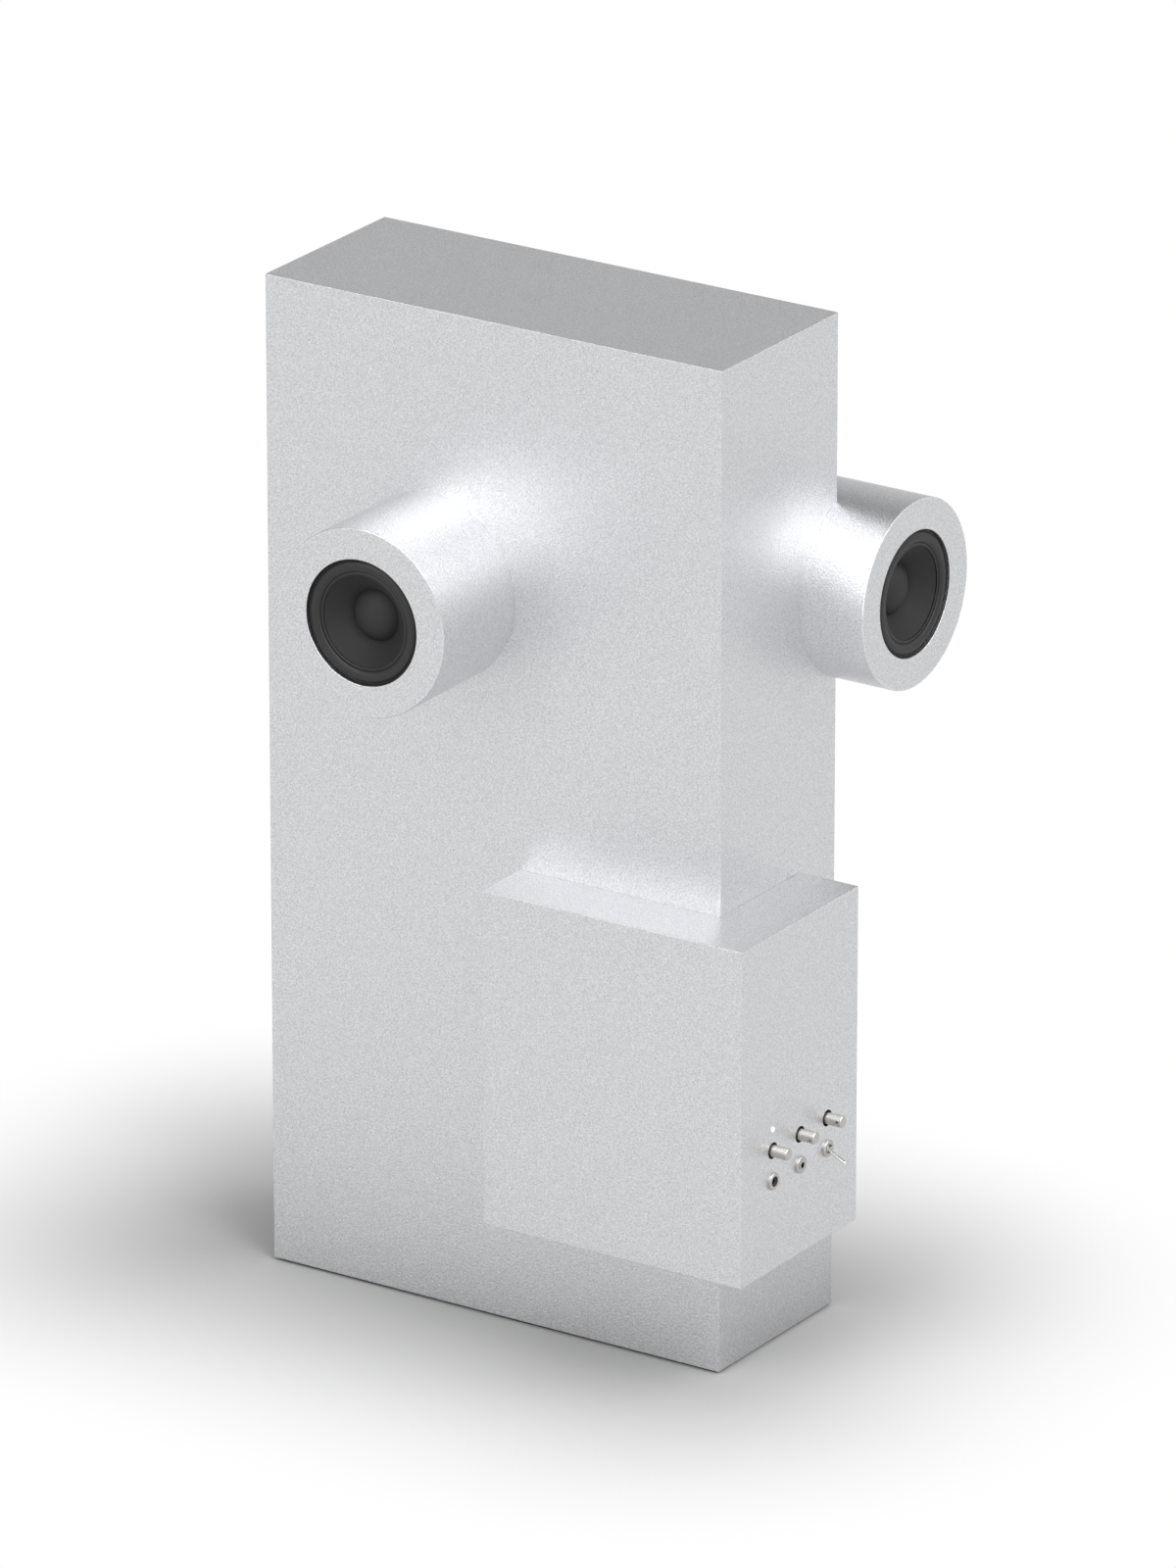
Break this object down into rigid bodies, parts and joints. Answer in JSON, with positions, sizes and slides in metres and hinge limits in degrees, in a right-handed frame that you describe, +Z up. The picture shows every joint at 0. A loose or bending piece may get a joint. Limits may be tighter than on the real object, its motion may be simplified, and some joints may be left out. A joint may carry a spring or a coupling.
{
  "type": "loudspeaker",
  "caption": "Upright active loudspeaker of blasted aluminium with round drive-unit pods on two sides and a control housing with knobs, sockets and a toggle.",
  "frame": {"origin": "centre of the slab's footprint, on the floor under its pad", "axes": "+Z up, +X towards the control panel and the side pod, +Y to the back; the front pod faces -Y"},
  "size_m": [0.3569, 0.2647, 0.6015],
  "materials": {
    "blasted_aluminium": "satin",
    "sheet_aluminium": "satin",
    "turned_aluminium": "satin",
    "plated_metal": "satin",
    "zinc_steel": "satin",
    "black_frame": "matte",
    "surround_rubber": "matte",
    "foot_rubber": "matte",
    "gasket_foam": "matte",
    "cone_paper": "matte",
    "spider_cloth": "matte",
    "coil_copper": "satin",
    "ferrite": "matte",
    "board_laminate": "satin",
    "moulded_black": "satin",
    "capacitor_sleeve": "gloss",
    "lamp_lens": "gloss",
    "lead_sleeve": "matte"
  },
  "bodies": {
    "cabinet": {"amplifier_board": "board_laminate", "amplifier_board_screws": "zinc_steel", "audio_jack": "plated_metal", "base_pad": "foot_rubber", "base_plate": "sheet_aluminium", "base_plate_screws": "zinc_steel", "bass_pot": "moulded_black", "capacitors": "capacitor_sleeve", "control_board": "board_laminate", "control_board_screws": "zinc_steel", "control_housing": "blasted_aluminium", "driver_leads": "lead_sleeve", "driver_screws": "zinc_steel", "front_basket": "black_frame", "front_gasket": "gasket_foam", "front_magnet": "ferrite", "front_pod": "blasted_aluminium", "front_pod_back": "sheet_aluminium", "front_spider": "spider_cloth", "front_surround": "surround_rubber", "front_top_plate": "zinc_steel", "front_yoke": "zinc_steel", "heat_sink": "sheet_aluminium", "housing_hatch": "sheet_aluminium", "housing_hatch_screws": "zinc_steel", "lead_grommets": "foot_rubber", "lead_terminals": "moulded_black", "panel_nuts": "plated_metal", "pod_back_screws": "zinc_steel", "power_jack": "plated_metal", "side_basket": "black_frame", "side_gasket": "gasket_foam", "side_magnet": "ferrite", "side_pod": "blasted_aluminium", "side_pod_back": "sheet_aluminium", "side_spider": "spider_cloth", "side_surround": "surround_rubber", "side_top_plate": "zinc_steel", "side_yoke": "zinc_steel", "slab_shell": "blasted_aluminium", "status_lamp": "lamp_lens", "toggle_body": "plated_metal", "treble_pot": "moulded_black", "volume_pot": "moulded_black"},
    "front_diaphragm": {"front_cone": "cone_paper", "front_dust_cap": "cone_paper", "front_voice_coil": "coil_copper"},
    "side_diaphragm": {"side_cone": "cone_paper", "side_dust_cap": "cone_paper", "side_voice_coil": "coil_copper"},
    "volume_control": {"volume_shaft": "zinc_steel", "volume_knob": "turned_aluminium", "volume_knob_screw": "zinc_steel"},
    "bass_control": {"bass_shaft": "zinc_steel", "bass_knob": "turned_aluminium", "bass_knob_screw": "zinc_steel"},
    "treble_control": {"treble_shaft": "zinc_steel", "treble_knob": "turned_aluminium", "treble_knob_screw": "zinc_steel"},
    "switch_lever": {"toggle_lever": "plated_metal"}
  },
  "joints": [
    {"name": "front_cone_stroke", "type": "slide", "parent": "cabinet", "child": "front_diaphragm", "axis": [0, -1, 0], "range_m": [-0.0025, 0.0025], "stiffness_N_per_m": 1100, "deforming": ["front_surround", "front_spider"]},
    {"name": "side_cone_stroke", "type": "slide", "parent": "cabinet", "child": "side_diaphragm", "axis": [1, 0, 0], "range_m": [-0.0025, 0.0025], "stiffness_N_per_m": 1100, "deforming": ["side_surround", "side_spider"]},
    {"name": "volume_turn", "type": "hinge", "parent": "cabinet", "child": "volume_control", "pos_m": [0.1917, -0.0657, 0.1483], "axis": [-1, 0, 0], "range_deg": [-202, 98]},
    {"name": "bass_turn", "type": "hinge", "parent": "cabinet", "child": "bass_control", "pos_m": [0.1917, -0.03705, 0.1483], "axis": [-1, 0, 0], "range_deg": [-40, 260]},
    {"name": "treble_turn", "type": "hinge", "parent": "cabinet", "child": "treble_control", "pos_m": [0.1917, -0.0084, 0.1483], "axis": [-1, 0, 0], "range_deg": [-65, 235]},
    {"name": "switch_throw", "type": "hinge", "parent": "cabinet", "child": "switch_lever", "pos_m": [0.1909, -0.0084, 0.1299], "axis": [0, -1, 0], "range_deg": [0, 54]}
  ]
}
